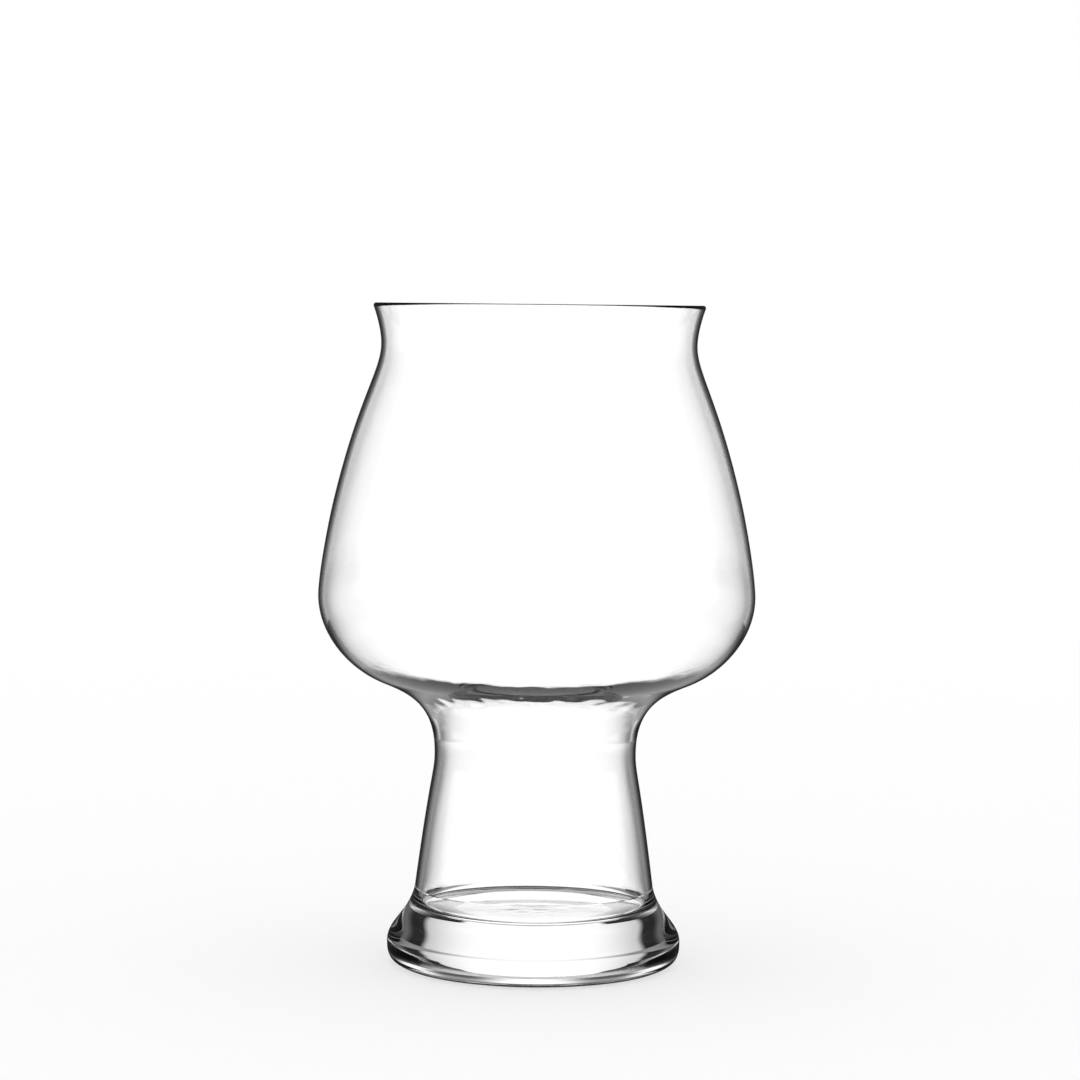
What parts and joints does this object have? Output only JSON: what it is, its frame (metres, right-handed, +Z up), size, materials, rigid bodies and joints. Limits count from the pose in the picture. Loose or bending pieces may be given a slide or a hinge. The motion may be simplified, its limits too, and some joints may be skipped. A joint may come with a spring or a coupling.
{
  "type": "cider glass",
  "caption": "Clear stemmed drinking glass: a wide bowl with a flared lip on a hollow waisted stem and a thick solid foot, for cider or beer.",
  "frame": {"origin": "centre of the flat underside of the foot, on the table's surface", "axes": "+Z up along the glass's axis, from the foot to the rim; X and Y are free, because the glass is turned about Z"},
  "size_m": [0.0952, 0.0952, 0.144],
  "materials": {
    "bowl_glass": "clear fire-polished glass, thin wall",
    "stem_glass": "clear fire-polished glass, thin wall",
    "foot_glass": "clear fire-polished glass, thick and solid"
  },
  "bodies": {
    "root": {"bowl": "bowl_glass", "stem": "stem_glass", "foot": "foot_glass"}
  },
  "joints": []
}
